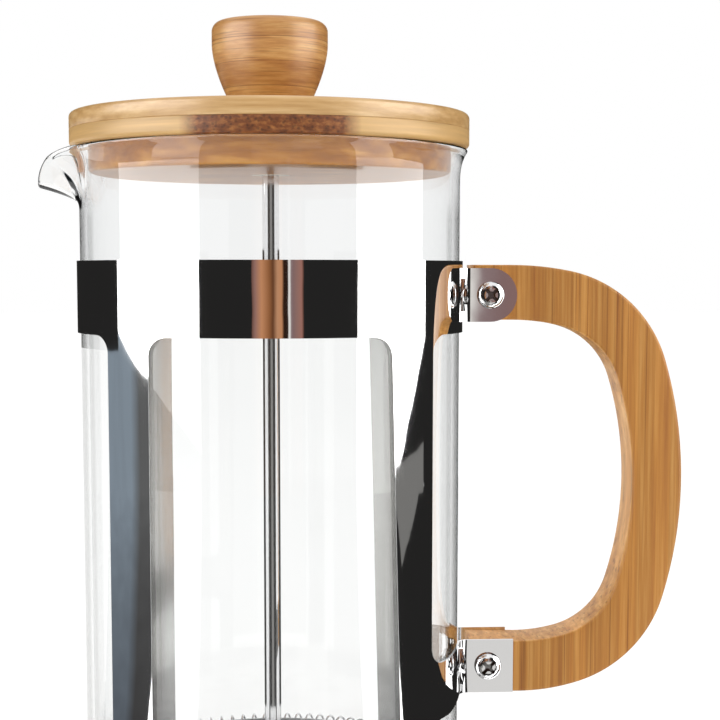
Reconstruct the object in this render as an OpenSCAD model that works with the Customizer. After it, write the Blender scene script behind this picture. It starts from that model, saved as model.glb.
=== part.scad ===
// Plunger coffee press: clear glass beaker in a bent-strip metal holder,
// laminated bamboo lid, knob and D-shaped handle, sprung filter on a steel rod.
// Millimetres, +Z up, +X towards the handle, -X towards the spout.

/* [Beaker] */
// outside radius of the straight glass wall
glass_r = 49; // [40:0.5:60]
// thickness of the glass wall
glass_t = 1.9; // [1.4:0.1:3]
// height of the glass from its underside to its rim
glass_h = 177.9; // [120:0.5:220]
// how far the rim opens outwards
rim_flare = 1.9; // [0:0.1:3]
// height over which the rim opens
flare_h = 12; // [6:1:20]
// distance of the spout tip from the beaker axis
spout_reach = 59.3; // [54:0.1:66]
// half width of the spout where it leaves the wall
spout_r = 13; // [9:0.5:16]

/* [Holder] */
// thickness of the holder strip
strip_t = 0.6; // [0.5:0.1:1]
// gap between glass and strip
strip_gap = 0.3; // [0.2:0.1:0.8]
// height of the top of the band above the table
band_top = 157.2; // [120:0.5:180]
// height of the band
band_h = 18.2; // [10:0.2:30]
// lower edge of the side bar at the handle
bar_bot = 42; // [30:0.5:60]
// upper edge of the side bar at the handle
bar_top = 56.5; // [45:0.5:75]
// corner radius of the openings between the legs
window_r = 4.5; // [2:0.5:8]
// length of the flat foot turned in under each leg
foot_l = 9; // [5:0.5:14]
// height of the underside of the glass above the table
glass_z = 8; // [5:0.5:20]
// width of the arms of the cross under the beaker
cross_w = 12; // [8:0.5:20]

/* [Handle] */
// thickness of the handle across the press
handle_d = 15; // [12:0.5:20]
// height of the upper screw
screw_hi = 148.5; // [130:0.1:160]
// height of the lower screw
screw_lo = 51.2; // [40:0.1:70]
// distance of the screws from the beaker axis
screw_x = 56.5; // [54:0.1:60]
// screw shank radius
screw_r = 2; // [1.5:0.1:3]
// screw head radius
head_r = 3.5; // [3:0.1:5]

/* [Lid] */
// radius of the lid
lid_r = 51.3; // [48:0.1:56]
// thickness of the lid
lid_t = 8.5; // [6:0.1:12]
// thickness of the lower layer of the lid
lid_low_t = 4.2; // [2:0.1:6]
// radius of the disc that drops into the beaker
plug_r = 46.5; // [44:0.1:47]
// depth of that disc
plug_t = 6.8; // [4:0.1:12]

/* [Plunger] */
// rod radius
rod_r = 2.2; // [2:0.05:3]
// largest radius of the knob
knob_r = 14.9; // [11:0.1:18]
// radius at the base of the knob
knob_base_r = 9.0; // [7:0.1:12]
// height of the knob
knob_h = 23.4; // [18:0.1:30]
// radius of the ring of the coil spring
coil_ring_r = 44.9; // [40:0.1:45]
// outside radius of the turns of the coil spring
coil_r = 1.9; // [1.2:0.1:2]
// height of the middle of the coil spring above the table
coil_z = 23.5; // [20:0.1:30]

/* [Hidden] */
$fn = 128;
eps = 0.01;
strip_ri = glass_r + strip_gap;          // inner face of the strip
strip_ro = strip_ri + strip_t;           // outer face of the strip
band_bot = band_top - band_h;
lid_z = glass_z + glass_h + 0.1;         // underside of the lid
lid_top_z = lid_z + lid_t;
knob_z = lid_top_z + 0.2;                // underside of the knob
run_fit = 0.06;                          // radial play of the rod in its bush
bush_r = 4;
bush_foot_r = 5;                         // its foot, let in flush under the plug
bush_foot_t = 1.4;
ear_y = handle_d / 2;                    // inner face of the ears
bend_r = 2.4;                            // inside radius of the ear bend
bend_cx = sqrt(pow(strip_ro + bend_r, 2) - pow(ear_y + strip_t + bend_r, 2));
bend_cy = ear_y + strip_t + bend_r;
bend_a = asin(bend_cy / (strip_ro + bend_r));
bend_y = (strip_ri + strip_t / 2) * sin(bend_a);
ear_end = 63.4;
hi_z0 = screw_hi - 6.9;
hi_z1 = screw_hi + 6.9;
lo_z0 = screw_lo - 7.1;
lo_z1 = screw_lo + 7.0;
plate_z = coil_z - 3.1;                  // underside of the spring plate
handle_reach = 107.44;
ax = (spout_reach - handle_reach) / 2;   // the beaker axis, so the whole is centred

// ---------------------------------------------------------------- helpers
// Points along a chain of arcs; each entry is [radius, turn in degrees],
// a zero turn is a straight run. Headings turn clockwise from +X.
function arc_pts(p, h, r, a, n) =
    [for (k = [1:n]) p + r * [sin(h + a * k / n) - sin(h),
                              cos(h + a * k / n) - cos(h)]];
function chain(p, h, segs, i = 0) =
    i >= len(segs) ? [] :
    let (r = segs[i][0], a = segs[i][1],
         q = a == 0 ? [p + r * [cos(h), -sin(h)]]
                    : arc_pts(p, h, r, a, max(4, ceil(a / 3))))
    concat(q, chain(q[len(q) - 1], h + a, segs, i + 1));

// stand a side-view outline (x, z) up and give it a thickness across the press
module side(t, y = 0) {
    translate([0, y + t / 2, 0]) rotate([90, 0, 0]) linear_extrude(height = t) children();
}
// stand an outline (y, z) up, running from x0 for a length l along +X
module front(l, x0 = 0) {
    translate([x0, 0, 0]) rotate([90, 0, 90]) linear_extrude(height = l) children();
}
module both() { children(); mirror([0, 1, 0]) children(); }

// outline of an opening with rounded corners; a and b are [x, z] of the lower
// left and lower right, c and d the upper right and upper left corners
module corner(p, sx, sz) {
    translate(p) difference() {
        translate([sx > 0 ? -eps : -window_r, sz > 0 ? -eps : -window_r])
            square(window_r + eps);
        translate([sx * window_r, sz * window_r]) circle(r = window_r);
    }
}
module opening(a, b, c, d, low) {
    difference() {
        polygon([a, b, c, d]);
        corner(c, -1, -1);
        corner(d, 1, -1);
        if (low) { corner(a, 1, 1); corner(b, -1, 1); }
    }
}

// ---------------------------------------------------------------- beaker
function flare(t) = rim_flare * t * t * (3 - t) / 2;
module beaker_profile() {
    fz = glass_h - flare_h;
    ri = glass_r - glass_t;
    outer = concat([[0, 0]],
        [for (a = [-90:7.5:0]) [glass_r - 6 + 6 * cos(a), 6 + 6 * sin(a)]],
        [for (k = [0:10]) [glass_r + flare(k / 10), fz + (flare_h - 0.9) * k / 10]],
        [for (a = [15:15:165]) [glass_r + rim_flare - glass_t / 2 + glass_t / 2 * cos(a),
                          glass_h - 0.9 + 0.9 * sin(a)]]);
    inner = concat(
        [for (k = [10:-1:0]) [ri + flare(k / 10), fz + (flare_h - 0.9) * k / 10]],
        [for (a = [0:-7.5:-90]) [ri - 4.5 + 4.5 * cos(a), 7.3 + 4.5 * sin(a)]],
        [[0, 2.8]]);
    polygon(concat(outer, inner));
}
// tapering channel of the spout; d is taken off its radius all round
module channel(d) {
    x1 = spout_reach - 49;
    tilt = atan(5.6 / x1);
    l = sqrt(x1 * x1 + 5.6 * 5.6);
    slope = (spout_r - 4.2) / l;
    translate([-49, 0, glass_z + glass_h - 0.4]) rotate([0, -90 - tilt, 0])
        translate([0, 0, -5]) cylinder(h = l + 7, r1 = spout_r + 5 * slope - d,
                                      r2 = 4.2 - 2 * slope - 0.8 * d);
}
module glass_beaker() color([0.85, 0.93, 0.95, 0.35]) translate([ax, 0, 0]) {
    difference() {
        union() {
            translate([0, 0, glass_z]) rotate_extrude() beaker_profile();
            difference() {
                intersection() {
                    channel(0);
                    side(60) translate([-49.3, glass_z + glass_h - spout_reach + 49.3])
                        circle(r = spout_reach - 49.3);
                }
                cylinder(h = 300, r = glass_r - 0.6);
            }
        }
        difference() {
            channel(glass_t);
            cylinder(h = 300, r = glass_r - 5);
        }
    }
}

// ---------------------------------------------------------------- holder
// section of the strip with the foot: upright, rounded bend, flat run inwards
module strip_section() {
    translate([strip_ri, 3]) square([strip_t, band_top - 3]);
    translate([strip_ro - foot_l, 0]) square([foot_l - 3, strip_t]);
    intersection() {
        translate([strip_ro - 3, 3]) difference() {
            circle(r = 3);
            circle(r = 3 - strip_t);
        }
        translate([strip_ro - 3, 0]) square([3, 3]);
    }
}
// the space between two feet
module foot_gap(a0, a1) {
    rotate([0, 0, a0]) rotate_extrude(angle = a1 - a0)
        translate([strip_ro - foot_l - 1, -1]) square([foot_l + 3, 13]);
}
// flat ear with the bend that brings it off the wall; the ear is round
// about its screw when tip is not zero
module ear(z0, z1, xe, tip) {
    translate([bend_cx, -bend_cy, z0]) rotate([0, 0, 90])
        rotate_extrude(angle = 90 - bend_a + 5)
            translate([bend_r - 0.05, 0]) square([strip_t + 0.1, z1 - z0]);
    side(strip_t, -ear_y - strip_t / 2) {
        translate([bend_cx - 0.1, z0]) square([xe - bend_cx + 0.1, z1 - z0]);
        if (tip > 0) translate([xe, (z0 + z1) / 2]) circle(r = tip);
    }
}
// small pressed stiffening diamond across the bend
module diamond(z, h) {
    translate([bend_cx, -bend_cy, z]) rotate([0, 0, 90 + (90 - bend_a) / 2])
        translate([bend_r - 0.45, 0, 0]) rotate([0, 90, 0])
            linear_extrude(height = 0.8)
                polygon([[-h / 2, 0], [0, 1.1], [h / 2, 0], [0, -1.1]]);
}
module holder_frame() color([0.86, 0.87, 0.88]) translate([ax, 0, 0]) {
    difference() {
        union() {
            difference() {
                rotate_extrude() strip_section();
                // the ears are cut out of the band here
                front(20, 40) translate([-bend_y, hi_z0])
                    square([2 * bend_y, hi_z1 - hi_z0]);
                // gap in the side bar behind the handle
                front(20, 40) translate([-bend_y, bar_bot - 3])
                    square([2 * bend_y, bar_top - bar_bot + 6]);
                // openings to the front and rear
                side(140) opening([-29.15, 11], [32.02, 11], [28.75, band_bot],
                                  [-29.15, band_bot], false);
                // opening below the spout
                front(60, -70) opening([-30.4, 11], [30.4, 11], [30.4, band_bot],
                                       [-30.4, band_bot], false);
                // openings above and below the side bar
                difference() {
                    front(60, 20) opening([-30.4, 11], [30.4, 11], [30.4, band_bot],
                                          [-30.4, band_bot], false);
                    front(70, 15) bar_outline();
                }
                foot_gap(50.1, 180 - 54.3);
                foot_gap(180 + 54.3, 360 - 50.1);
                foot_gap(180 - 37.5, 180 + 37.5);
                foot_gap(-37.6, 37.6);
            }
            both() {
                ear(hi_z0, hi_z1, screw_x, 6.9);
                diamond(screw_hi, 8.4);
                ear(lo_z0, lo_z1, ear_end - 0.2, 0);
                diamond(screw_lo, 9.4);
            }
        }
        for (z = [screw_hi, screw_lo]) {
            translate([screw_x, -ear_y + 1, z]) rotate([90, 0, 0]) cylinder(h = 4, r = screw_r + 0.1);
            translate([screw_x, ear_y + 3, z]) rotate([90, 0, 0]) cylinder(h = 4, r = 2.9);
        }
    }
}
// side bar seen along the press: rounded into the legs at its ends and
// growing to the height of the ears in the middle
module bar_outline() {
    w = 30.4;
    difference() {
        polygon([[-w - 5, bar_bot - window_r], [-w - 5, bar_top + window_r],
                 [-w, bar_top + window_r], [-w + window_r, bar_top], [-21, bar_top],
                 [-10.5, lo_z1], [10.5, lo_z1],
                 [21, bar_top], [w - window_r, bar_top], [w, bar_top + window_r],
                 [w + 5, bar_top + window_r], [w + 5, bar_bot - window_r],
                 [w, bar_bot - window_r], [w - window_r, bar_bot], [21, bar_bot],
                 [10.5, lo_z0], [-10.5, lo_z0],
                 [-21, bar_bot], [-w + window_r, bar_bot], [-w, bar_bot - window_r]]);
        for (y = [-1, 1]) {
            translate([y * (w - window_r), bar_top + window_r]) circle(r = window_r);
            translate([y * (w - window_r), bar_bot - window_r]) circle(r = window_r);
        }
    }
}

// cross under the beaker: two crossed arms with their ends turned down
module base_cross() color([0.8, 0.81, 0.82]) translate([ax, 0, 0]) {
    top = glass_z - 0.1;
    difference() {
        union() {
            for (a = [45, 135]) rotate([0, 0, a])
                translate([-(strip_ri - 2), -cross_w / 2, top - 1])
                    cube([2 * (strip_ri - 2), cross_w, 1]);
            for (a = [45:90:315]) rotate([0, 0, a - 6.9])
                rotate_extrude(angle = 13.8) {
                    translate([strip_ri - 3, top - 1]) square([1 + eps, 1]);
                    translate([strip_ri - 2, top - 2]) intersection() {
                        difference() { circle(r = 2); circle(r = 1); }
                        square(2);
                    }
                    translate([strip_ri - 1, 3.3]) square([1, top - 5.3 + eps]);
                }
            translate([0, 0, top - 1]) cylinder(h = 1, r = 11);
        }
        translate([0, 0, top - 2]) cylinder(h = 3, r = 6);
        for (a = [45:90:315]) rotate([0, 0, a])
            translate([30, 0, top - 2]) cylinder(h = 3, r = 2.5);
    }
}

// ---------------------------------------------------------------- handle
module handle_outline() {
    polygon(concat([[52, 44.15]], [[52, 156.25]],
        chain([62, 156.25], 0, [[77.4, 11.4], [33.4, 61.4], [108.6, 33.7],
                                [33.5, 56.3], [53.8, 17.2]])));
}
module handle_hole() {
    polygon(concat([[40, 57.8]], [[40, 142.1]],
        chain([62, 142.1], 0, [[56.8, 13.9], [20.4, 58.6], [90.7, 35],
                               [19.9, 57.7], [43.5, 14.8]])));
}
module handle() color([0.75, 0.52, 0.28]) translate([ax, 0, 0]) difference() {
    side(handle_d) difference() { handle_outline(); handle_hole(); }
    for (z = [screw_hi, screw_lo]) {
        translate([screw_x, handle_d, z]) rotate([90, 0, 0])
            cylinder(h = handle_d * 2, r = screw_r + 0.1);
        translate([screw_x, handle_d, z]) rotate([90, 0, 0]) cylinder(h = handle_d + 2, r = 2.85);
    }
}
// pan-head screw, driven from the -Y side, and the sleeve nut that meets it
module pan_screw(z) translate([ax + screw_x, -ear_y - strip_t, z]) rotate([90, 0, 0]) {
    translate([0, 0, -14.4]) cylinder(h = 14.4 + eps, r = screw_r);
    difference() {
        rotate_extrude() polygon(concat([[0, 0], [head_r, 0]],
            [for (a = [0:9:90]) [head_r - 1.9 + 1.9 * cos(a), 0.5 + 1.9 * sin(a)]],
            [[0, 2.4]]));
        for (a = [45, 135]) rotate([0, 0, a]) translate([-2.1, -0.45, 0.9]) cube([4.2, 0.9, 3]);
        translate([0, 0, 0.7]) cylinder(h = 3, r = 0.95);
    }
}
module sleeve_nut(z) translate([ax + screw_x, ear_y + strip_t, z]) rotate([-90, 0, 0])
    difference() {
        union() {
            translate([0, 0, -9.6]) cylinder(h = 9.7, r = 2.8);
            rotate_extrude() polygon(concat([[0, 0], [4, 0]],
                [for (a = [0:15:90]) [4 - 1.4 + 1.4 * cos(a), 0.4 + 1.4 * sin(a)]],
                [[0, 1.8]]));
            }
        translate([0, 0, -10]) cylinder(h = 10.1, r = screw_r + 0.05);
        translate([-2.6, -0.45, 0.9]) cube([5.2, 0.9, 3]);
    }
module upper_handle_screw() color([0.8, 0.8, 0.82]) pan_screw(screw_hi);
module lower_handle_screw() color([0.8, 0.8, 0.82]) pan_screw(screw_lo);
module upper_sleeve_nut() color([0.8, 0.8, 0.82]) sleeve_nut(screw_hi);
module lower_sleeve_nut() color([0.8, 0.8, 0.82]) sleeve_nut(screw_lo);

// ---------------------------------------------------------------- lid
module lid_top_layer() color([0.87, 0.74, 0.55]) translate([ax, 0, lid_z + lid_low_t])
    rotate_extrude() polygon(concat([[bush_r, 0], [lid_r, 0]],
        [for (a = [0:15:90]) [lid_r - 1.2 + 1.2 * cos(a),
                              lid_t - lid_low_t - 1.2 + 1.2 * sin(a)]],
        [[bush_r, lid_t - lid_low_t]]));
module lid_lower_layer() color([0.55, 0.34, 0.18]) translate([ax, 0, lid_z])
    rotate_extrude() polygon(concat([[bush_r, lid_low_t], [bush_r, 0]],
        [for (a = [-90:15:0]) [lid_r - 1 + 1 * cos(a), 1 + 1 * sin(a)]],
        [[lid_r, lid_low_t]]));
module lid_plug() color([0.8, 0.62, 0.4]) translate([ax, 0, lid_z - plug_t])
    rotate_extrude() polygon(concat([[bush_r, plug_t], [bush_r, bush_foot_t],
        [bush_foot_r, bush_foot_t], [bush_foot_r, 0]],
        [for (a = [-90:15:0]) [plug_r - 0.8 + 0.8 * cos(a), 0.8 + 0.8 * sin(a)]],
        [[plug_r, plug_t]]));
module lid_guide_bush() color([0.85, 0.82, 0.75]) translate([ax, 0, 0])
    rotate_extrude() polygon([
        [rod_r + run_fit, lid_z - plug_t], [bush_foot_r - run_fit, lid_z - plug_t],
        [bush_foot_r - run_fit, lid_z - plug_t + bush_foot_t - run_fit],
        [bush_r - run_fit, lid_z - plug_t + bush_foot_t - run_fit],
        [bush_r - run_fit, lid_top_z - 0.2], [rod_r + run_fit, lid_top_z - 0.2]]);

// ---------------------------------------------------------------- plunger
function knob_rad(h) = let (m = 17.5) h >= m ? knob_r :
    knob_r - (knob_r - knob_base_r) * pow((m - h) / m, 1.5);
module knob() color([0.78, 0.58, 0.36]) translate([ax, 0, knob_z]) difference() {
    rotate_extrude() polygon(concat([[0, 0], [knob_base_r - 0.5, 0], [knob_base_r, 0.4]],
        [for (h = [1.2:1.2:19.2]) [knob_rad(h), h]],
        [for (a = [0:10:90]) [knob_r - 2.6 + 2.6 * cos(a), knob_h - 2.6 + 2.6 * sin(a)]],
        [[0, knob_h]]));
    translate([0, 0, -1]) cylinder(h = 15, r = 3.4);
}
module knob_insert() color([0.78, 0.66, 0.36]) translate([ax, 0, knob_z + 0.4]) difference() {
    cylinder(h = 13, r = 3.4);
    translate([0, 0, -1]) cylinder(h = 13, r = rod_r);
}
module plunger_rod() color([0.82, 0.83, 0.85]) translate([ax, 0, 14.6])
    cylinder(h = knob_z + 12 - 14.6, r = rod_r);
module filter_collar() color([0.75, 0.76, 0.78]) translate([ax, 0, plate_z + 0.8])
    rotate_extrude() polygon([[rod_r, 0], [6.5, 0], [6.5, 1.2], [4.5, 2.2],
                              [4.5, 6.4], [3.9, 7], [rod_r, 7]]);
module spring_plate() color([0.8, 0.8, 0.82]) translate([ax, 0, plate_z]) difference() {
    rotate_extrude() polygon([[rod_r, 0], [coil_ring_r - coil_r - 0.05, 0],
        [coil_ring_r - coil_r - 0.05, 4], [coil_ring_r - coil_r - 0.85, 4],
        [coil_ring_r - coil_r - 0.85, 0.8], [rod_r, 0.8]]);
    for (a = [0:45:315]) rotate([0, 0, a]) translate([15, 0, -1]) cylinder(h = 3, r = 3.5);
    for (a = [0:30:330]) rotate([0, 0, a + 15]) translate([29, 0, -1]) cylinder(h = 3, r = 4.5);
    for (a = [0:15:345]) rotate([0, 0, a]) translate([38.4, 0, -1]) cylinder(h = 3, r = 1.8);
}
module coil_spring() color([0.82, 0.82, 0.84]) translate([ax, 0, coil_z])
    rotate_extrude() translate([coil_ring_r, 0]) circle(r = coil_r, $fn = 48);
module mesh_screen() color([0.7, 0.7, 0.72]) translate([ax, 0, plate_z - 0.4])
    difference() {
        cylinder(h = 0.4, r = 46.2);
        translate([0, 0, -1]) cylinder(h = 3, r = rod_r);
    }
module cross_plate() color([0.8, 0.8, 0.82]) translate([ax, 0, plate_z - 1.4]) difference() {
    cylinder(h = 1, r = 40);
    translate([0, 0, -1]) cylinder(h = 3, r = rod_r);
    for (a = [0:90:270]) rotate([0, 0, a]) {
        translate([0, 0, -1]) rotate([0, 0, 15]) rotate_extrude(angle = 60)
            translate([13, 0]) square([22, 3]);
    }
}
module filter_nut() color([0.75, 0.76, 0.78]) translate([ax, 0, plate_z - 6.4]) difference() {
    union() {
        cylinder(h = 3.6, r = 6.4, $fn = 6);
        translate([0, 0, 3.6]) cylinder(h = 1.4, r = 8);
    }
    translate([0, 0, 0.6]) cylinder(h = 9, r = rod_r);
}

glass_beaker();
holder_frame();
base_cross();
handle();
upper_handle_screw();
lower_handle_screw();
upper_sleeve_nut();
lower_sleeve_nut();
lid_top_layer();
lid_lower_layer();
lid_plug();
lid_guide_bush();
knob();
knob_insert();
plunger_rod();
filter_collar();
spring_plate();
coil_spring();
mesh_screen();
cross_plate();
filter_nut();
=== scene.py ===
import bpy
import bmesh
import math
from mathutils import Vector, Matrix


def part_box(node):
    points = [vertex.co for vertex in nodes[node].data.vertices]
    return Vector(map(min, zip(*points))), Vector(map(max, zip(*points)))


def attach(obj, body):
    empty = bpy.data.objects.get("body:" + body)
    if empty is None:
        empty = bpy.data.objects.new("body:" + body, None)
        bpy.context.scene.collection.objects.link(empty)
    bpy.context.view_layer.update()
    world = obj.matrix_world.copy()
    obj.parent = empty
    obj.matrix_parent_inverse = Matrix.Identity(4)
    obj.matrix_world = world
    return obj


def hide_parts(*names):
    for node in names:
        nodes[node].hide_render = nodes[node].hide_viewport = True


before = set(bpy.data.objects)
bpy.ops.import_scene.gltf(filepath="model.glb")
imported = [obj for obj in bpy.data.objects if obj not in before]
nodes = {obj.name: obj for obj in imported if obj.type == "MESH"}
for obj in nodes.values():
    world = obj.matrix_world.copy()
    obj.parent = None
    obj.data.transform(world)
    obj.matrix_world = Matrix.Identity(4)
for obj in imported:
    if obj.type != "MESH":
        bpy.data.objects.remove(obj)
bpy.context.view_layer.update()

rod_lo, rod_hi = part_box("plunger_rod")
AX = (rod_lo[0] + rod_hi[0]) / 2      # the beaker axis
MM = 0.001


# ------------------------------------------------------------------ meshes
def new_mesh(name, verts, faces, sharp_deg=38, smooth=True):
    me = bpy.data.meshes.new(name)
    me.from_pydata([Vector(v) for v in verts], [], faces)
    me.validate()
    bm = bmesh.new()
    bm.from_mesh(me)
    bmesh.ops.remove_doubles(bm, verts=bm.verts, dist=1e-7)
    bmesh.ops.recalc_face_normals(bm, faces=bm.faces)
    lim = math.radians(sharp_deg)
    for f in bm.faces:
        f.smooth = smooth
    for e in bm.edges:
        if len(e.link_faces) == 2 and e.calc_face_angle(0) > lim:
            e.smooth = False
    bm.to_mesh(me)
    bm.free()
    ob = bpy.data.objects.new(name, me)
    bpy.context.scene.collection.objects.link(ob)
    return ob


def lathe(name, prof, seg=192, sharp=38):
    """prof: (radius, z) in mm going round the closed section."""
    verts, faces, rings = [], [], []
    for r, z in prof:
        if r < 1e-6:
            rings.append([len(verts)])
            verts.append((AX, 0, z * MM))
        else:
            rings.append(list(range(len(verts), len(verts) + seg)))
            for k in range(seg):
                a = 2 * math.pi * k / seg
                verts.append((AX + r * MM * math.cos(a), r * MM * math.sin(a), z * MM))
    n = len(rings)
    closed = prof[0][0] > 1e-6 and prof[-1][0] > 1e-6
    for i in range(n if closed else n - 1):
        a, b = rings[i], rings[(i + 1) % n]
        if len(a) == 1 and len(b) == 1:
            continue
        for k in range(seg):
            k2 = (k + 1) % seg
            if len(a) == 1:
                faces.append((a[0], b[k], b[k2]))
            elif len(b) == 1:
                faces.append((a[k], b[0], a[k2]))
            else:
                faces.append((a[k], b[k], b[k2], a[k2]))
    return new_mesh(name, verts, faces, sharp)


def arc(cx, cz, r, a0, a1, n):
    return [(cx + r * math.cos(math.radians(a0 + (a1 - a0) * k / n)),
             cz + r * math.sin(math.radians(a0 + (a1 - a0) * k / n))) for k in range(n + 1)]


# ------------------------------------------------------------------ materials
def mat(name):
    m = bpy.data.materials.new(name)
    m.use_nodes = True
    nt = m.node_tree
    p = nt.nodes["Principled BSDF"]
    return m, nt, p


def N(nt, kind, **kw):
    n = nt.nodes.new(kind)
    for k, v in kw.items():
        setattr(n, k, v)
    return n


def ramp(nt, stops, interp="LINEAR"):
    r = nt.nodes.new("ShaderNodeValToRGB")
    r.color_ramp.interpolation = interp
    el = r.color_ramp.elements
    while len(el) > 1:
        el.remove(el[-1])
    el[0].position, el[0].color = stops[0][0], (*stops[0][1], 1)
    for p, c in stops[1:]:
        e = el.new(p)
        e.color = (*c, 1)
    return r


def srgb(r, g, b):
    f = lambda c: (c / 255 / 12.92) if c / 255 <= 0.04045 else ((c / 255 + 0.055) / 1.055) ** 2.4
    return (f(r), f(g), f(b))


def bump(nt, p, src, strength, dist):
    b = N(nt, "ShaderNodeBump")
    b.inputs["Strength"].default_value = strength
    b.inputs["Distance"].default_value = dist
    nt.links.new(src, b.inputs["Height"])
    nt.links.new(b.outputs["Normal"], p.inputs["Normal"])


def chrome(name, base=(0.90, 0.90, 0.91), rough=0.035, wob=0.0):
    m, nt, p = mat(name)
    p.inputs["Metallic"].default_value = 1.0
    tc = N(nt, "ShaderNodeTexCoord")
    no = N(nt, "ShaderNodeTexNoise")
    no.inputs["Scale"].default_value = 60
    no.inputs["Detail"].default_value = 2
    nt.links.new(tc.outputs["Object"], no.inputs["Vector"])
    r = ramp(nt, [(0.3, tuple(c * 0.97 for c in base)), (0.7, base)])
    nt.links.new(no.outputs["Fac"], r.inputs["Fac"])
    nt.links.new(r.outputs["Color"], p.inputs["Base Color"])
    p.inputs["Roughness"].default_value = rough
    if wob:
        bump(nt, p, no.outputs["Fac"], wob, 0.002)
    return m


def brushed(name, base=(0.62, 0.62, 0.63), rough=0.28, scale=(900, 900, 900)):
    m, nt, p = mat(name)
    p.inputs["Metallic"].default_value = 1.0
    tc = N(nt, "ShaderNodeTexCoord")
    mp = N(nt, "ShaderNodeMapping")
    mp.inputs["Scale"].default_value = scale
    no = N(nt, "ShaderNodeTexNoise")
    no.inputs["Scale"].default_value = 1
    no.inputs["Detail"].default_value = 3
    nt.links.new(tc.outputs["Object"], mp.inputs["Vector"])
    nt.links.new(mp.outputs["Vector"], no.inputs["Vector"])
    r = ramp(nt, [(0.25, tuple(c * 0.8 for c in base)), (0.75, tuple(min(1, c * 1.1) for c in base))])
    nt.links.new(no.outputs["Fac"], r.inputs["Fac"])
    nt.links.new(r.outputs["Color"], p.inputs["Base Color"])
    p.inputs["Roughness"].default_value = rough
    bump(nt, p, no.outputs["Fac"], 0.15, 0.0002)
    return m


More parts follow.
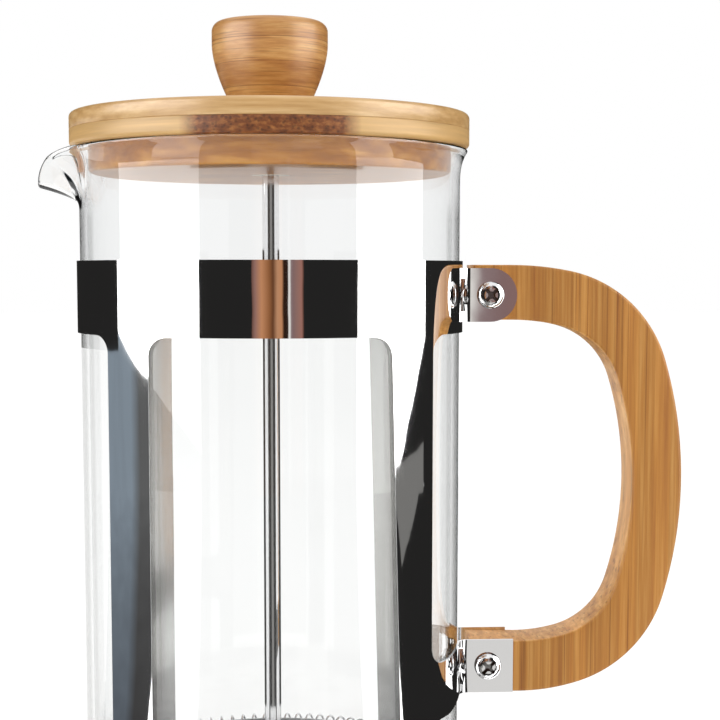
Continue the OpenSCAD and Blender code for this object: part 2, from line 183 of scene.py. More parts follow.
def bamboo(name, dark, mid, light, fibre, layers=None, strip_axis=None, strip_w=0.006,
           vary=0.35, rough=0.42, speckle=0.0, spec=0.75, ends=None, lines=None):
    """Laminated bamboo. fibre: noise scale along x, y, z (small along the grain).
    layers: [(z in m, colour), ...] glued layers from the bottom up.
    strip_axis: axis across which strips of width strip_w alternate in tone.
    ends: (half width in m, long-grain colour) where the board shows its long grain at the sides."""
    m, nt, p = mat(name)
    L = nt.links.new
    tc = N(nt, "ShaderNodeTexCoord")
    mp = N(nt, "ShaderNodeMapping")
    mp.inputs["Scale"].default_value = fibre
    L(tc.outputs["Object"], mp.inputs["Vector"])
    n1 = N(nt, "ShaderNodeTexNoise")
    n1.inputs["Scale"].default_value = 1
    n1.inputs["Detail"].default_value = 5
    n1.inputs["Roughness"].default_value = 0.6
    L(mp.outputs["Vector"], n1.inputs["Vector"])
    base = ramp(nt, [(0.28, dark), (0.5, mid), (0.72, light)])
    L(n1.outputs["Fac"], base.inputs["Fac"])
    col = base.outputs["Color"]
    sep = N(nt, "ShaderNodeSeparateXYZ")
    L(tc.outputs["Object"], sep.inputs["Vector"])
    if strip_axis:
        d = N(nt, "ShaderNodeMath", operation="MULTIPLY_ADD")
        d.inputs[1].default_value = 1 / strip_w
        d.inputs[2].default_value = 100.37
        L(sep.outputs[strip_axis], d.inputs[0])
        fl = N(nt, "ShaderNodeMath", operation="FLOOR")
        L(d.outputs[0], fl.inputs[0])
        wn = N(nt, "ShaderNodeTexWhiteNoise", noise_dimensions="1D")
        L(fl.outputs[0], wn.inputs["W"])
        tone = ramp(nt, [(0.0, (1 - vary,) * 3), (1.0, (1.0 + vary * 0.15,) * 3)])
        L(wn.outputs["Value"], tone.inputs["Fac"])
        mx = N(nt, "ShaderNodeMix", data_type="RGBA", blend_type="MULTIPLY")
        mx.inputs["Factor"].default_value = 1.0
        L(col, mx.inputs[6])
        L(tone.outputs["Color"], mx.inputs[7])
        col = mx.outputs[2]
    if layers:
        mr = N(nt, "ShaderNodeMapRange")
        z0, z1 = layers[0][0], layers[-1][0]
        mr.inputs["From Min"].default_value = z0
        mr.inputs["From Max"].default_value = z1
        L(sep.outputs["Z"], mr.inputs["Value"])
        lr = ramp(nt, [((z - z0) / (z1 - z0), c) for z, c in layers[:-1]], "CONSTANT")
        L(mr.outputs["Result"], lr.inputs["Fac"])
        mx = N(nt, "ShaderNodeMix", data_type="RGBA", blend_type="MULTIPLY")
        mx.inputs["Factor"].default_value = 1.0
        L(col, mx.inputs[6])
        L(lr.outputs["Color"], mx.inputs[7])
        col = mx.outputs[2]
    if speckle:
        vo = N(nt, "ShaderNodeTexVoronoi")
        vo.inputs["Scale"].default_value = 900
        L(tc.outputs["Object"], vo.inputs["Vector"])
        vr = ramp(nt, [(0.15, (1 - speckle,) * 3), (0.45, (1, 1, 1))])
        L(vo.outputs["Distance"], vr.inputs["Fac"])
        mx = N(nt, "ShaderNodeMix", data_type="RGBA", blend_type="MULTIPLY")
        mx.inputs["Factor"].default_value = 1.0
        L(col, mx.inputs[6])
        L(vr.outputs["Color"], mx.inputs[7])
        col = mx.outputs[2]
    if lines:
        g3 = N(nt, "ShaderNodeMapping")
        g3.inputs["Scale"].default_value = lines
        L(tc.outputs["Object"], g3.inputs["Vector"])
        n3 = N(nt, "ShaderNodeTexNoise")
        n3.inputs["Scale"].default_value = 1
        n3.inputs["Detail"].default_value = 2
        L(g3.outputs["Vector"], n3.inputs["Vector"])
        l3 = ramp(nt, [(0.30, (0.66, 0.60, 0.52)), (0.42, (1, 1, 1)), (0.62, (1, 1, 1)), (0.74, (1.14, 1.16, 1.18))])
        L(n3.outputs["Fac"], l3.inputs["Fac"])
        mx = N(nt, "ShaderNodeMix", data_type="RGBA", blend_type="MULTIPLY")
        mx.inputs["Factor"].default_value = 1.0
        L(col, mx.inputs[6])
        L(l3.outputs["Color"], mx.inputs[7])
        col = mx.outputs[2]
    if ends:
        dx = N(nt, "ShaderNodeMath", operation="SUBTRACT")
        dx.inputs[1].default_value = AX + ends[0]
        L(sep.outputs["X"], dx.inputs[0])
        ab = N(nt, "ShaderNodeMath", operation="ABSOLUTE")
        L(dx.outputs[0], ab.inputs[0])
        mr = N(nt, "ShaderNodeMapRange")
        mr.inputs["From Min"].default_value = ends[1] - 0.0022
        mr.inputs["From Max"].default_value = ends[1] + 0.0022
        L(ab.outputs[0], mr.inputs["Value"])
        g2 = N(nt, "ShaderNodeMapping")
        g2.inputs["Scale"].default_value = (40, 40, 900)
        L(tc.outputs["Object"], g2.inputs["Vector"])
        n2 = N(nt, "ShaderNodeTexNoise")
        n2.inputs["Scale"].default_value = 1
        n2.inputs["Detail"].default_value = 4
        L(g2.outputs["Vector"], n2.inputs["Vector"])
        lg = ramp(nt, [(0.3, tuple(c * 0.86 for c in ends[2])), (0.7, tuple(c * 1.1 for c in ends[2]))])
        L(n2.outputs["Fac"], lg.inputs["Fac"])
        mx = N(nt, "ShaderNodeMix", data_type="RGBA", blend_type="MIX")
        L(mr.outputs["Result"], mx.inputs["Factor"])
        L(col, mx.inputs[6])
        L(lg.outputs["Color"], mx.inputs[7])
        col = mx.outputs[2]
    L(col, p.inputs["Base Color"])
    p.inputs["Roughness"].default_value = rough
    p.inputs["Specular IOR Level"].default_value = spec
    bump(nt, p, n1.outputs["Fac"], 0.12, 0.0004)
    return m


def plain(name, base, rough=0.5, var=0.08, scale=300):
    m, nt, p = mat(name)
    tc = N(nt, "ShaderNodeTexCoord")
    no = N(nt, "ShaderNodeTexNoise")
    no.inputs["Scale"].default_value = scale
    nt.links.new(tc.outputs["Object"], no.inputs["Vector"])
    r = ramp(nt, [(0.3, tuple(c * (1 - var) for c in base)), (0.7, base)])
    nt.links.new(no.outputs["Fac"], r.inputs["Fac"])
    nt.links.new(r.outputs["Color"], p.inputs["Base Color"])
    p.inputs["Roughness"].default_value = rough
    return m, nt, p


def assign(ob, m):
    ob.data.materials.clear()
    ob.data.materials.append(m)


m_glass, nt, p = mat("beaker_glass")
p.inputs["Transmission Weight"].default_value = 1.0
p.inputs["IOR"].default_value = 1.47
p.inputs["Roughness"].default_value = 0.0
# base colour darkens where the wall is seen edge-on: a painted dark outline along the glass's edges
lw = N(nt, "ShaderNodeLayerWeight")
lw.inputs["Blend"].default_value = 0.5
r = ramp(nt, [(0.0, (0.974, 0.978, 0.977)), (0.55, (0.965, 0.970, 0.969)), (0.73, (0.93, 0.94, 0.94)),
              (0.79, (0.46, 0.465, 0.46)), (0.92, (0.40, 0.405, 0.40)), (1.0, (0.62, 0.625, 0.62))])
nt.links.new(lw.outputs["Facing"], r.inputs["Fac"])
# the painted dark outline fades out towards the top, so the blown rim and spout, thinner than the drawn wall, stay
# clear
tc = N(nt, "ShaderNodeTexCoord")
sz_ = N(nt, "ShaderNodeSeparateXYZ")
nt.links.new(tc.outputs["Object"], sz_.inputs["Vector"])
mr = N(nt, "ShaderNodeMapRange")
mr.inputs["From Min"].default_value = 0.168
mr.inputs["From Max"].default_value = 0.174
nt.links.new(sz_.outputs["Z"], mr.inputs["Value"])
mx = N(nt, "ShaderNodeMix", data_type="RGBA", blend_type="MIX")
nt.links.new(mr.outputs["Result"], mx.inputs["Factor"])
nt.links.new(r.outputs["Color"], mx.inputs[6])
mx.inputs[7].default_value = (0.972, 0.976, 0.975, 1)
nt.links.new(mx.outputs[2], p.inputs["Base Color"])

m_chrome = chrome("holder_chrome", wob=0.02)
nt = m_chrome.node_tree
p = nt.nodes["Principled BSDF"]
# faces turned towards the beaker's axis get a darker, streaky grey base colour: painted shade that dims what the
# inner faces mirror, on a rougher finish
tc = N(nt, "ShaderNodeTexCoord")
of = N(nt, "ShaderNodeVectorMath", operation="SUBTRACT")
of.inputs[1].default_value = (AX, 0, 0)
nt.links.new(tc.outputs["Object"], of.inputs[0])
fl = N(nt, "ShaderNodeVectorMath", operation="MULTIPLY")
fl.inputs[1].default_value = (1, 1, 0)
nt.links.new(of.outputs["Vector"], fl.inputs[0])
nn = N(nt, "ShaderNodeVectorMath", operation="NORMALIZE")
nt.links.new(fl.outputs["Vector"], nn.inputs[0])
dt = N(nt, "ShaderNodeVectorMath", operation="DOT_PRODUCT")
nt.links.new(nn.outputs["Vector"], dt.inputs[0])
nt.links.new(tc.outputs["Normal"], dt.inputs[1])
mr = N(nt, "ShaderNodeMapRange")
mr.inputs["From Min"].default_value = -0.75
mr.inputs["From Max"].default_value = -0.95
nt.links.new(dt.outputs["Value"], mr.inputs["Value"])
g2 = N(nt, "ShaderNodeMapping")
g2.inputs["Scale"].default_value = (160, 160, 9)
nt.links.new(tc.outputs["Object"], g2.inputs["Vector"])
n2 = N(nt, "ShaderNodeTexNoise")
n2.inputs["Scale"].default_value = 1
nt.links.new(g2.outputs["Vector"], n2.inputs["Vector"])
ir = ramp(nt, [(0.3, (0.40, 0.39, 0.37)), (0.7, (0.58, 0.58, 0.57))])
nt.links.new(n2.outputs["Fac"], ir.inputs["Fac"])
old = p.inputs["Base Color"].links[0].from_socket
mx = N(nt, "ShaderNodeMix", data_type="RGBA", blend_type="MIX")
nt.links.new(mr.outputs["Result"], mx.inputs["Factor"])
nt.links.new(old, mx.inputs[6])
nt.links.new(ir.outputs["Color"], mx.inputs[7])
nt.links.new(mx.outputs[2], p.inputs["Base Color"])
rr = ramp(nt, [(0.0, (0.035,) * 3), (1.0, (0.22,) * 3)])
nt.links.new(mr.outputs["Result"], rr.inputs["Fac"])
nt.links.new(rr.outputs["Color"], p.inputs["Roughness"])
m_screw = chrome("screw_steel", (0.86, 0.86, 0.87), 0.08)
nt = m_screw.node_tree
p = nt.nodes["Principled BSDF"]
# base colour darkened by ambient occlusion in the screw recesses: painted shade
ao = N(nt, "ShaderNodeAmbientOcclusion")
ao.inputs["Distance"].default_value = 0.004
ao.samples = 8
ar = ramp(nt, [(0.35, (0.10, 0.095, 0.09)), (0.8, (0.86, 0.86, 0.87))])
nt.links.new(ao.outputs["AO"], ar.inputs["Fac"])
nt.links.new(ar.outputs["Color"], p.inputs["Base Color"])
m_rod = chrome("rod_steel", (0.80, 0.80, 0.81), 0.10)
m_spring = chrome("spring_steel", (0.82, 0.82, 0.83), 0.12)
m_filter = brushed("filter_steel")
m_base = brushed("base_steel", scale=(300, 2500, 300))
m_insert = chrome("insert_brass", (0.80, 0.62, 0.30), 0.2)
m_bush, _, _ = plain("bush_plastic", srgb(225, 215, 200), 0.5)

m_handle = bamboo("handle_bamboo", srgb(160, 98, 38), srgb(184, 123, 50), srgb(206, 150, 76), (620, 200, 14),
                  strip_axis="X", strip_w=0.0043, vary=0.16, rough=0.42, spec=0.35,
                  lines=(1700, 500, 9))
# the handle's inner and outer edges are painted paler and whiter: partly the paler side of the strips, partly a
# painted sheen
nt = m_handle.node_tree
p = nt.nodes["Principled BSDF"]
tc = N(nt, "ShaderNodeTexCoord")
sn = N(nt, "ShaderNodeSeparateXYZ")
nt.links.new(tc.outputs["Normal"], sn.inputs["Vector"])
ab = N(nt, "ShaderNodeMath", operation="ABSOLUTE")
nt.links.new(sn.outputs["Y"], ab.inputs[0])
er = ramp(nt, [(0.35, (1.45, 1.68, 2.5)), (0.75, (1, 1, 1))])
nt.links.new(ab.outputs[0], er.inputs["Fac"])
old = p.inputs["Base Color"].links[0].from_socket
mx = N(nt, "ShaderNodeMix", data_type="RGBA", blend_type="MULTIPLY")
mx.inputs["Factor"].default_value = 1.0
nt.links.new(old, mx.inputs[6])
nt.links.new(er.outputs["Color"], mx.inputs[7])
nt.links.new(mx.outputs[2], p.inputs["Base Color"])

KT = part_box("knob")[1][2]
GL = (0.62, 0.54, 0.45)
kl = [(KT - 0.0240, (0.96, 0.95, 0.92)), (KT - 0.01725, GL), (KT - 0.0170, (0.84, 0.78, 0.70)),
      (KT - 0.01135, GL), (KT - 0.0111, (1.06, 1.10, 1.16)), (KT - 0.0055, GL), (KT - 0.0052, (0.93, 0.92, 0.92)),
      (KT + 0.0005, (1, 1, 1))]
m_knob = bamboo("knob_bamboo", srgb(172, 112, 50), srgb(198, 142, 74), srgb(220, 172, 104),
                (90, 90, 800), layers=kl, rough=0.36, spec=0.7, lines=(60, 60, 2200))
m_lid_top = bamboo("lid_light_bamboo", srgb(182, 136, 74), srgb(203, 160, 100), srgb(222, 184, 128),
                   (30, 200, 700), vary=0.2, rough=0.32, spec=0.9)
m_lid_low = bamboo("lid_dark_bamboo", srgb(88, 42, 10), srgb(126, 68, 22), srgb(168, 106, 46),
                   (500, 60, 900), rough=0.4, speckle=0.45, spec=0.5,
                   ends=(0.0, 0.0190, srgb(204, 162, 100)))
m_plug = bamboo("plug_bamboo", srgb(142, 82, 12), srgb(174, 110, 24), srgb(204, 144, 54),
                (60, 260, 420), vary=0.2, rough=0.3, spec=0.6)

# fine woven wire for the screen
m_mesh, nt, p = mat("mesh_steel")
p.inputs["Metallic"].default_value = 1.0
p.inputs["Roughness"].default_value = 0.35
tc = N(nt, "ShaderNodeTexCoord")
ck = N(nt, "ShaderNodeTexChecker")
ck.inputs["Scale"].default_value = 1600
ck.inputs["Color1"].default_value = (0.62, 0.62, 0.64, 1)
ck.inputs["Color2"].default_value = (0.22, 0.22, 0.23, 1)
nt.links.new(tc.outputs["Object"], ck.inputs["Vector"])
nt.links.new(ck.outputs["Color"], p.inputs["Base Color"])
bump(nt, p, ck.outputs["Fac"], 0.3, 0.0002)

for n, m in {"holder_frame": m_chrome, "base_cross": m_base, "upper_handle_screw": m_screw,
             "lower_handle_screw": m_screw, "upper_sleeve_nut": m_screw,
             "lower_sleeve_nut": m_screw, "lid_guide_bush": m_bush, "knob_insert": m_insert,
             "plunger_rod": m_rod, "filter_collar": m_rod, "spring_plate": m_filter,
             "coil_spring": m_spring, "mesh_screen": m_mesh, "cross_plate": m_filter,
             "filter_nut": m_rod, "glass_beaker": m_glass, "handle": m_handle,
             "lid_top_layer": m_lid_top, "lid_lower_layer": m_lid_low, "lid_plug": m_plug,
             "knob": m_knob}.items():
    assign(nodes[n], m)

# ------------------------------------------------------------------ knob
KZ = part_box("knob")[0][2] / MM
KR, KB, KH = 14.9, 8.8, 23.4
prof = [(0, KZ), (KB - 0.5, KZ), (KB - 0.1, KZ + 0.15), (KB, KZ + 0.4)]
for k in range(1, 33):
    h = 0.4 + (17.5 - 0.4) * k / 32
    prof.append((KR - (KR - KB) * ((17.5 - h) / 17.5) ** 1.65, KZ + h))
prof += arc(KR - 2.6, KZ + KH - 2.6, 2.6, 0, 90, 12)
prof.append((KR - 5, KZ + KH))
prof.append((0, KZ + KH))
knob = lathe("knob_turned", prof, 160, 50)
assign(knob, m_knob)
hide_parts("knob")
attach(knob, "plunger")

# ------------------------------------------------------------------ lid
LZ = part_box("lid_lower_layer")[0][2] / MM
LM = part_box("lid_lower_layer")[1][2] / MM
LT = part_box("lid_top_layer")[1][2] / MM
LR = (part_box("lid_top_layer")[1][0] - AX) / MM
B = 4.0
low = [(B, LM - 0.02), (B, LZ)] + [(LR - 20, LZ)] + arc(LR - 1, LZ + 1, 1, -90, 0, 8) + [(LR, LM - 0.12), (LR - 0.1, LM - 0.02)]
top = [(B, LM), (LR - 0.1, LM), (LR, LM + 0.1), (LR, LT - 1.2)] + arc(LR - 1.2, LT - 1.2, 1.2, 0, 90, 8)[1:] + [(LR - 20, LT), (B, LT)]
o = lathe("lid_lower_turned", low, 256, 50)
assign(o, m_lid_low)
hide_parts("lid_lower_layer")
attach(o, "lid")
o = lathe("lid_top_turned", top, 256, 50)
assign(o, m_lid_top)
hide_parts("lid_top_layer")
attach(o, "lid")

# ------------------------------------------------------------------ beaker
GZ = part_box("glass_beaker")[0][2] / MM
GH, GR, GT = 177.9, 49.0, 1.9
GTOP = GZ + GH
YS = 17.0                                  # half width of the spout at the rim
C0X, C0Z, CR = 49.3, GTOP - 10.0, 9.9      # the curve of its lip, seen from the side


def smooth01(t):
    t = max(0.0, min(1.0, t))
    return t * t * (3 - 2 * t)


def bez(a, b, c, t):
    return tuple((1 - t) ** 2 * a[i] + 2 * t * (1 - t) * b[i] + t * t * c[i] for i in range(2))


def flare(t):
    t = max(0.0, t)
    return 1.9 * t ** 4


def top_point(delta, t, inner):
    """A point of the upper wall: delta from the spout's direction, t from 0 (18 mm below the rim) to 1."""
    zb = GTOP - 18
    wall = GR - (GT if inner else 0)
    z = zb + (18 - 0.9) * t
    r = wall + flare((z - (GTOP - 12)) / 11.1)
    px, py, pz = -r * math.cos(delta), r * math.sin(delta), z
    y = 51 * math.sin(delta)
    if abs(y) < YS and abs(delta) < 1:
        g = 1 - math.sqrt((y / YS) ** 2 + 0.006) / math.sqrt(1.006)
        g = max(0.0, g)
        g2 = g
        xr = -(C0X + CR * math.sin(math.pi / 2 * g2))
        zr = C0Z + CR * math.cos(math.pi / 2 * g2) - 0.35
        yw = y * wall / 51
        wx = -math.sqrt(max(1.0, wall * wall - yw * yw))
        # up the wall first, then out under the lip
        t1 = 0.30 * g
        zk = zb + (4.9 if inner else 3.6) * g
        if inner:
            a, b, c = (wx, zk), (wx + 0.2 * (1 - g), zk + 1.6 + 9.5 * (1 - g)), (xr + 0.55, zr + 0.55)
        else:
            a, b, c = (wx, zk), (wx, zk + 1.1 + 9.5 * (1 - g)), (xr + 0.15, zr - 0.75 * g - 0.35)
        if t < t1:
            sx, sz = wx, zb + (zk - zb) * t / t1
        else:
            sx, sz = bez(a, b, c, (t - t1) / (1 - t1))
        yy = yw + (y - yw) * t
        w = smooth01((YS - abs(y)) / 8.5)
        px, py, pz = px * (1 - w) + sx * w, py * (1 - w) + yy * w, pz * (1 - w) + sz * w
    return (px, py, pz)


def glass():
    spans = []
    n_sp, n_rest = 72, 184
    dmax = math.radians(21)
    for k in range(n_sp):
        spans.append(-dmax + 2 * dmax * k / n_sp)
    for k in range(n_rest):
        spans.append(dmax + (2 * math.pi - 2 * dmax) * k / n_rest)
    rows = []                                # each: function of delta -> point
    def ring(r, z):
        rows.append(lambda d, r=r, z=z: (-r * math.cos(d), r * math.sin(d), z))
    for r in (14, 30):
        ring(r, GZ)
    for r, z in arc(GR - 6, GZ + 6, 6, -90, 0, 12):
        ring(r, z)
    for k in range(1, 8):
        ring(GR, GZ + 6 + (GH - 18 - 6) * k / 8)
    T = 22
    for k in range(T + 1):
        rows.append(lambda d, t=k / T: top_point(d, t, False))
    for k in range(1, 8):                    # rounded rim between the two walls
        def cap(d, a=math.pi * k / 8):
            o_, i_ = Vector(top_point(d, 1, False)), Vector(top_point(d, 1, True))
            b_ = Vector(top_point(d, 0.93, False))
            c_ = (o_ + i_) / 2
            u = (o_ - i_) / 2
            up = (o_ - b_)
            up -= u * (up.dot(u) / max(1e-9, u.dot(u)))
            up = up.normalized() * min(0.9, u.length)
            q = c_ + u * math.cos(a) + up * math.sin(a)
            return tuple(q)
        rows.append(cap)
    for k in range(T, -1, -1):
        rows.append(lambda d, t=k / T: top_point(d, t, True))
    ri = GR - GT
    for k in range(7, 0, -1):
        ring(ri, GZ + 7.3 + (GH - 18 - 7.3) * k / 8)
    for r, z in arc(ri - 4.5, GZ + 7.3, 4.5, 0, -90, 10):
        ring(r, z)
    for r in (30, 14):
        ring(r, GZ + 2.8)
    verts, faces = [], []
    nc = len(spans)
    for f in rows:
        for d in spans:
            x, y, z = f(d)
            verts.append((AX + x * MM, y * MM, min(z, GTOP) * MM))
    c0 = len(verts)
    verts.append((AX, 0, GZ * MM))
    c1 = len(verts)
    verts.append((AX, 0, (GZ + 2.8) * MM))
    for j in range(len(rows) - 1):
        for k in range(nc):
            k2 = (k + 1) % nc
            faces.append((j * nc + k, j * nc + k2, (j + 1) * nc + k2, (j + 1) * nc + k))
    last = (len(rows) - 1) * nc
    for k in range(nc):
        k2 = (k + 1) % nc
        faces.append((c0, k2, k))
        faces.append((c1, last + k, last + k2))
    return new_mesh("beaker_blown", verts, faces, 75)


g = glass()
assign(g, m_glass)
g.visible_shadow = False
g.visible_diffuse = False
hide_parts("glass_beaker")
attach(g, "beaker")

# ------------------------------------------------------------------ coil spring
ZC = (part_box("coil_spring")[0][2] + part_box("coil_spring")[1][2]) / 2 / MM


def coil(ring_r=44.9, loop_r=1.55, wire=0.32, turns=86, per=18, sides=7):
    verts, faces = [], []
    n = turns * per
    for i in range(n):
        a = 2 * math.pi * i / n
        b = 2 * math.pi * i / per
        er = Vector((math.cos(a), math.sin(a), 0))
        ez = Vector((0, 0, 1))
        et = Vector((-math.sin(a), math.cos(a), 0))
        c = er * ring_r + (er * math.cos(b) + ez * math.sin(b)) * loop_r
        tan = (et * (ring_r * 2 * math.pi / n) +
               (-er * math.sin(b) + ez * math.cos(b)) * (loop_r * 2 * math.pi / per)).normalized()
        out = (er * math.cos(b) + ez * math.sin(b))
        side = tan.cross(out).normalized()
        out = side.cross(tan).normalized()
        for s in range(sides):
            q = 2 * math.pi * s / sides
            v = c + (out * math.cos(q) + side * math.sin(q)) * wire
            verts.append((AX + v.x * MM, v.y * MM, (ZC + v.z) * MM))
    for i in range(n):
        i2 = (i + 1) % n
        for s in range(sides):
            s2 = (s + 1) % sides
            faces.append((i * sides + s, i * sides + s2, i2 * sides + s2, i2 * sides + s))
    return new_mesh("spring_wound", verts, faces, 80)


o = coil()
assign(o, m_spring)
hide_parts("coil_spring")
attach(o, "plunger")


# ------------------------------------------------------------------ handle
def chain(x, z, segs):
    h, pts = 0.0, [(x, z)]
    for r, a in segs:
        n = max(4, int(math.ceil(a / 2.0)))
        x0, z0, h0 = x, z, h
        for k in range(1, n + 1):
            h = h0 + math.radians(a) * k / n
            x = x0 + r * (math.sin(h) - math.sin(h0))
            z = z0 + r * (math.cos(h) - math.cos(h0))
            pts.append((x, z))
    return pts


outer = [(52, 44.15), (52, 156.25)] + chain(62, 156.25, [(77.4, 11.4), (33.4, 61.4), (108.6, 33.7), (33.5, 56.3), (53.8, 17.2)])
inner = chain(62, 142.1, [(56.8, 13.9), (20.4, 58.6), (90.7, 35), (19.9, 57.7), (43.5, 14.8)])
loop = [(52, 44.15), (52, 57.8)] + list(reversed(inner)) + [(52, 142.1), (52, 156.25)] + outer[2:]
cu = bpy.data.curves.new("handle_shape", "CURVE")
cu.dimensions = "2D"
cu.fill_mode = "BOTH"
sp = cu.splines.new("POLY")
sp.points.add(len(loop) - 1)
for q, (x, z) in zip(sp.points, loop):
    q.co = (AX + x * MM, z * MM, 0, 1)
sp.use_cyclic_u = True
BV = 0.9 * MM
cu.extrude = 7.5 * MM - BV
cu.bevel_depth = BV
cu.bevel_resolution = 4
cu.offset = -BV
tmp = bpy.data.objects.new("handle_tmp", cu)
bpy.context.scene.collection.objects.link(tmp)
tmp.matrix_world = Matrix.Rotation(math.radians(90), 4, "X")
bpy.context.view_layer.update()
dg = bpy.context.evaluated_depsgraph_get()
me = bpy.data.meshes.new_from_object(tmp.evaluated_get(dg))
me.transform(tmp.matrix_world)
bpy.data.objects.remove(tmp)
bm = bmesh.new()
bm.from_mesh(me)
bmesh.ops.remove_doubles(bm, verts=bm.verts, dist=1e-6)
bmesh.ops.recalc_face_normals(bm, faces=bm.faces)
for f in bm.faces:
    f.smooth = True
for e in bm.edges:
    if len(e.link_faces) == 2 and e.calc_face_angle(0) > math.radians(40):
        e.smooth = False
bm.to_mesh(me)
bm.free()
hd = bpy.data.objects.new("handle_shaped", me)
bpy.context.scene.collection.objects.link(hd)
assign(hd, m_handle)
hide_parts("handle")
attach(hd, "holder")


# ------------------------------------------------------------------ studio
def panel(name, verts, m, **vis):
    ob = new_mesh(name, verts, [tuple(range(len(verts)))], smooth=False)
    assign(ob, m)
    for k, v in vis.items():
        setattr(ob, k, v)
    return ob


m_floor, nt, p = plain("studio_floor", (0.90, 0.90, 0.895), 0.9, 0.01, 3)
p.inputs["Emission Color"].default_value = (1, 1, 1, 1)
p.inputs["Emission Strength"].default_value = 0.14
p.inputs["Specular IOR Level"].default_value = 0.1
panel("studio_floor", [(-6, -6, 0), (6, -6, 0), (6, 6, 0), (-6, 6, 0)], m_floor)


def glow(name, col, strength):
    m, nt, p = mat(name)
    p.inputs["Base Color"].default_value = (0, 0, 0, 1)
    p.inputs["Roughness"].default_value = 1
    p.inputs["Specular IOR Level"].default_value = 0
    p.inputs["Emission Color"].default_value = (*col, 1)
    p.inputs["Emission Strength"].default_value = strength
    return m


m_black = glow("studio_flag", (0.018, 0.0175, 0.017), 1.0)
m_soft = glow("studio_softbox", (1.0, 1.0, 0.985), 4.5)
m_grey = glow("studio_grey", (0.26, 0.255, 0.24), 1.0)


def polar(az, rad, z):
    """Azimuth from the camera's side, negative to its left."""
    a = math.radians(az)
    return (AX + rad * math.sin(a), -rad * math.cos(a), z)


def card(name, a0, a1, rad, z0, z1, m, z0b=None, **vis):
    """An upright card curved round the press; z0b is its lower edge at a1."""
    n = 24
    verts, faces = [], []
    for k in range(n + 1):
        t = k / n
        zz = z0 if z0b is None else z0 + (z0b - z0) * t
        verts += [polar(a0 + (a1 - a0) * t, rad, zz), polar(a0 + (a1 - a0) * t, rad, z1)]
    for k in range(n):
        faces.append((2 * k, 2 * k + 2, 2 * k + 3, 2 * k + 1))
    ob = new_mesh(name, verts, faces)
    assign(ob, m)
    for k, v in vis.items():
        setattr(ob, k, v)
    return ob


def ring_card(name, a0, a1, r0, r1, z, m, **vis):
    n = 48
    verts, faces = [], []
    for k in range(n + 1):
        verts += [polar(a0 + (a1 - a0) * k / n, r0, z), polar(a0 + (a1 - a0) * k / n, r1, z)]
    for k in range(n):
        faces.append((2 * k, 2 * k + 1, 2 * k + 3, 2 * k + 2))
    ob = new_mesh(name, verts, faces)
    assign(ob, m)
    for k, v in vis.items():
        setattr(ob, k, v)
    return ob


# the wooden set piece beside the camera: a few upright bands of tone
m_warm, nt, p = mat("studio_warm_card")
p.inputs["Base Color"].default_value = (0, 0, 0, 1)
p.inputs["Specular IOR Level"].default_value = 0
p.inputs["Roughness"].default_value = 1
p.inputs["Emission Strength"].default_value = 1.0
tc = N(nt, "ShaderNodeTexCoord")
sx = N(nt, "ShaderNodeSeparateXYZ")
nt.links.new(tc.outputs["Object"], sx.inputs["Vector"])
mr = N(nt, "ShaderNodeMapRange")
mr.inputs["From Min"].default_value = AX + 0.8 * math.sin(math.radians(-11))
mr.inputs["From Max"].default_value = AX + 0.8 * math.sin(math.radians(18))
nt.links.new(sx.outputs["X"], mr.inputs["Value"])
COP, PIN, DRK = srgb(196, 138, 98), srgb(150, 112, 102), srgb(46, 30, 22)
wr = ramp(nt, [(0.0, srgb(90, 60, 50)), (0.08, PIN), (0.2, COP), (0.34, srgb(150, 98, 62)), (0.42, srgb(100, 62, 40)),
               (0.5, srgb(190, 140, 104)), (0.58, COP), (0.62, DRK), (0.70, DRK), (0.715, srgb(236, 232, 226)), (0.742, srgb(226, 222, 216)),
               (0.762, srgb(140, 120, 120)), (0.80, srgb(132, 106, 104)), (0.9, PIN), (0.96, srgb(160, 112, 100)), (1.0, srgb(70, 48, 40))])
nt.links.new(mr.outputs["Result"], wr.inputs["Fac"])
nt.links.new(wr.outputs["Color"], p.inputs["Emission Color"])

FLAG = dict(visible_camera=False, visible_diffuse=False, visible_shadow=False,
            visible_volume_scatter=False, visible_transmission=False)
card("flag_left_front", -40.5, -10.5, 0.8, 0.0, 0.9, m_black, **FLAG)
card("flag_right_front", 18, 49.5, 0.8, 0.0, 0.9, m_black, **FLAG)
card("flag_left_back", -165, -97, 0.8, 0.1, 0.9, m_black, **FLAG)
card("flag_right_back", 99, 165, 0.8, 0.0, 0.9, m_black, **FLAG)
card("warm_front", -10.5, 18, 0.8, 0.0, 0.9, m_warm, **FLAG)
card("softbox_card_left", -97, -40.5, 0.8, 0.112, 0.9, m_soft, z0b=0.03, **FLAG)
card("softbox_card_right", 49.5, 99, 0.8, -0.107, 0.9, m_soft, z0b=0.11, **FLAG)
card("flag_right_low", 46, 102, 0.83, 0.0, 0.9, m_black, **FLAG)

# blue-grey floor cloth on the left, black on the right
m_cloth, nt, p = mat("studio_cloth")
p.inputs["Base Color"].default_value = (0, 0, 0, 1)
p.inputs["Specular IOR Level"].default_value = 0
p.inputs["Roughness"].default_value = 1
p.inputs["Emission Strength"].default_value = 1.0
tc = N(nt, "ShaderNodeTexCoord")
ln = N(nt, "ShaderNodeVectorMath", operation="LENGTH")
nt.links.new(tc.outputs["Object"], ln.inputs[0])
no = N(nt, "ShaderNodeTexNoise")
no.inputs["Scale"].default_value = 14
nt.links.new(tc.outputs["Object"], no.inputs["Vector"])
ad = N(nt, "ShaderNodeMath", operation="MULTIPLY_ADD")
ad.inputs[1].default_value = 0.3
nt.links.new(no.outputs["Fac"], ad.inputs[0])
nt.links.new(ln.outputs["Value"], ad.inputs[2])
cr = ramp(nt, [(0.2, srgb(72, 76, 82)), (0.45, srgb(98, 106, 114)), (1.0, srgb(132, 144, 154))])
nt.links.new(ad.outputs[0], cr.inputs["Fac"])
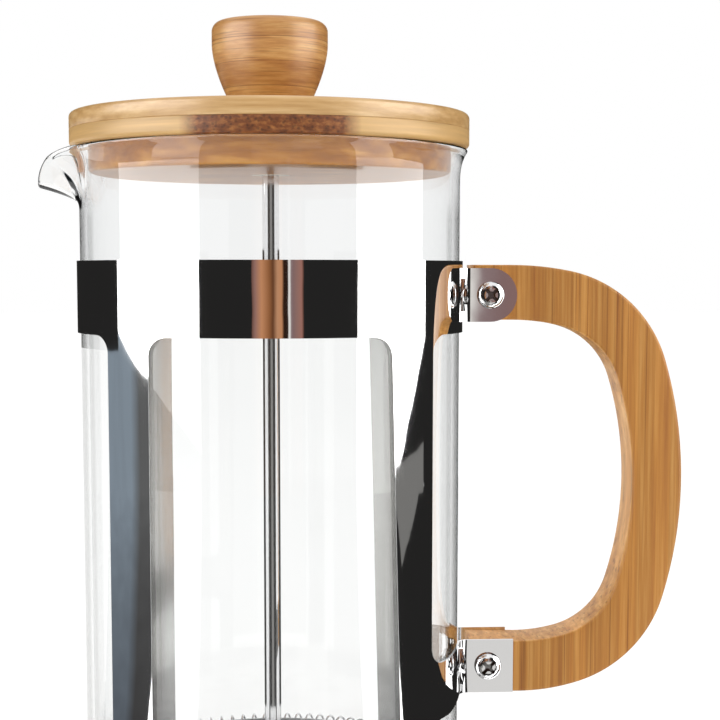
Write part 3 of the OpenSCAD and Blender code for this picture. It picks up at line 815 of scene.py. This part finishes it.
so = N(nt, "ShaderNodeSeparateXYZ")
nt.links.new(tc.outputs["Object"], so.inputs["Vector"])
sa = N(nt, "ShaderNodeMath", operation="ADD")
sa.inputs[1].default_value = -AX
nt.links.new(so.outputs["X"], sa.inputs[0])
dv = N(nt, "ShaderNodeMath", operation="DIVIDE")
nt.links.new(so.outputs["Y"], dv.inputs[0])
nt.links.new(sa.outputs[0], dv.inputs[1])
br = ramp(nt, [(0.05, (1, 1, 1)), (0.17, (0.50, 0.42, 0.36))])
nt.links.new(dv.outputs[0], br.inputs["Fac"])
mx = N(nt, "ShaderNodeMix", data_type="RGBA", blend_type="MULTIPLY")
mx.inputs["Factor"].default_value = 1.0
nt.links.new(cr.outputs["Color"], mx.inputs[6])
nt.links.new(br.outputs["Color"], mx.inputs[7])
nt.links.new(mx.outputs[2], p.inputs["Emission Color"])
ring_card("cloth_left", -112, -71, 0.06, 0.82, 0.0012, m_cloth, **FLAG)
card("cloth_left_up", -112, -71, 0.81, 0.0, 0.12, m_cloth, **FLAG)
ring_card("flag_floor_right", 75, 180, 0.06, 0.82, 0.0008, m_black, **FLAG)
m_soft_low = glow("studio_softbox_low", (1.0, 1.0, 0.985), 2.6)
ring_card("soft_floor_left", -71, -40.5, 0.06, 0.82, 0.0008, m_soft_low, **FLAG)
ring_card("soft_floor_right", 49.5, 75, 0.06, 0.82, 0.0008, m_soft_low, **FLAG)
ring_card("flag_floor_front_left", -40.5, -10.5, 0.06, 0.82, 0.0008, m_black, **FLAG)
ring_card("flag_floor_front_right", 18, 49.5, 0.06, 0.82, 0.0008, m_black, **FLAG)
ring_card("flag_floor_front", -10.5, 18, 0.06, 0.82, 0.0008, m_grey, **FLAG)
def patch(name, verts, m):
    ob = new_mesh(name, verts, [tuple(range(len(verts)))])
    assign(ob, m)
    for k, v in FLAG.items():
        setattr(ob, k, v)


m_grey2 = glow("studio_grey_dim", (0.19, 0.187, 0.178), 1.0)
patch("grey_upright_right", [polar(77, 0.79, 0.0015), polar(98, 0.79, 0.0015), polar(98, 0.79, 0.037), polar(77, 0.79, 0.022)], m_grey2)
patch("grey_floor_right", [polar(77, 0.79, 0.0014), polar(79, 0.50, 0.0014), polar(94, 0.79, 0.0014)], m_grey2)
m_pale = glow("studio_pale", (0.72, 0.71, 0.69), 1.0)
ring_card("pale_floor_front", 13, 30, 0.15, 0.34, 0.0014, m_pale, **FLAG)
# small cards round the rod, so that it mirrors the same set as the frame does
for nm, a0, a1, m_ in (("rod_flag_left", -40.5, -10.5, m_black), ("rod_flag_right", 18, 49.5, m_black),
                       ("rod_flag_left_back", -170, -97, m_black), ("rod_flag_right_back", 99, 170, m_black),
                       ("rod_flag_front", -10.5, 18, m_grey)):
    card(nm, a0, a1, 0.030, 0.032, 0.1605 if "back" in nm else 0.1785, m_, **FLAG)

w = bpy.data.worlds.new("studio")
bpy.context.scene.world = w
w.use_nodes = True
w.node_tree.nodes["Background"].inputs["Color"].default_value = (1, 1, 1, 1)
w.node_tree.nodes["Background"].inputs["Strength"].default_value = 1.0


def area(name, loc, target, size, power, col=(1, 1, 1)):
    l = bpy.data.lights.new(name, "AREA")
    l.shape = "RECTANGLE"
    l.size, l.size_y = size
    l.energy = power
    l.color = col
    ob = bpy.data.objects.new(name, l)
    ob.location = loc
    ob.rotation_mode = "QUATERNION"
    ob.rotation_quaternion = (Vector(target) - Vector(loc)).to_track_quat("-Z", "Y")
    bpy.context.scene.collection.objects.link(ob)
    ob.visible_camera = False
    ob.visible_glossy = False
    ob.visible_transmission = False
    return ob


area("softbox_left", (-0.85, -0.45, 0.35), (0, 0, 0.1), (0.7, 0.9), 0.9)
area("softbox_right", (0.85, -0.45, 0.35), (0, 0, 0.1), (0.7, 0.9), 0.7)
area("softbox_top", (0, 0.1, 1.3), (0, 0, 0.1), (1.2, 1.2), 1.2)

# ------------------------------------------------------------------ camera
D, H, YAW, PITCH, ROLL, F, SY = 437.8, 154.3, 0.05303, 0.09936, 0.00052, 1670.9, 78.9
fwd = Vector((math.sin(YAW) * math.cos(PITCH), math.cos(YAW) * math.cos(PITCH), -math.sin(PITCH)))
right = Vector((math.cos(YAW), -math.sin(YAW), 0))
up = right.cross(fwd)
r2 = right * math.cos(ROLL) + up * math.sin(ROLL)
u2 = -right * math.sin(ROLL) + up * math.cos(ROLL)
cd = bpy.data.cameras.new("camera")
cam = bpy.data.objects.new("camera", cd)
bpy.context.scene.collection.objects.link(cam)
M = Matrix.Identity(4)
for i in range(3):
    M[i][0], M[i][1], M[i][2] = r2[i], u2[i], -fwd[i]
M[0][3], M[1][3], M[2][3] = AX, -D * MM, H * MM
cam.matrix_world = M
cd.sensor_width = 36
cd.lens = F / 720 * 36
cd.shift_y = SY / 720
cd.clip_start = 0.01
cd.clip_end = 50
bpy.context.scene.camera = cam
bpy.context.scene.view_settings.view_transform = "Standard"
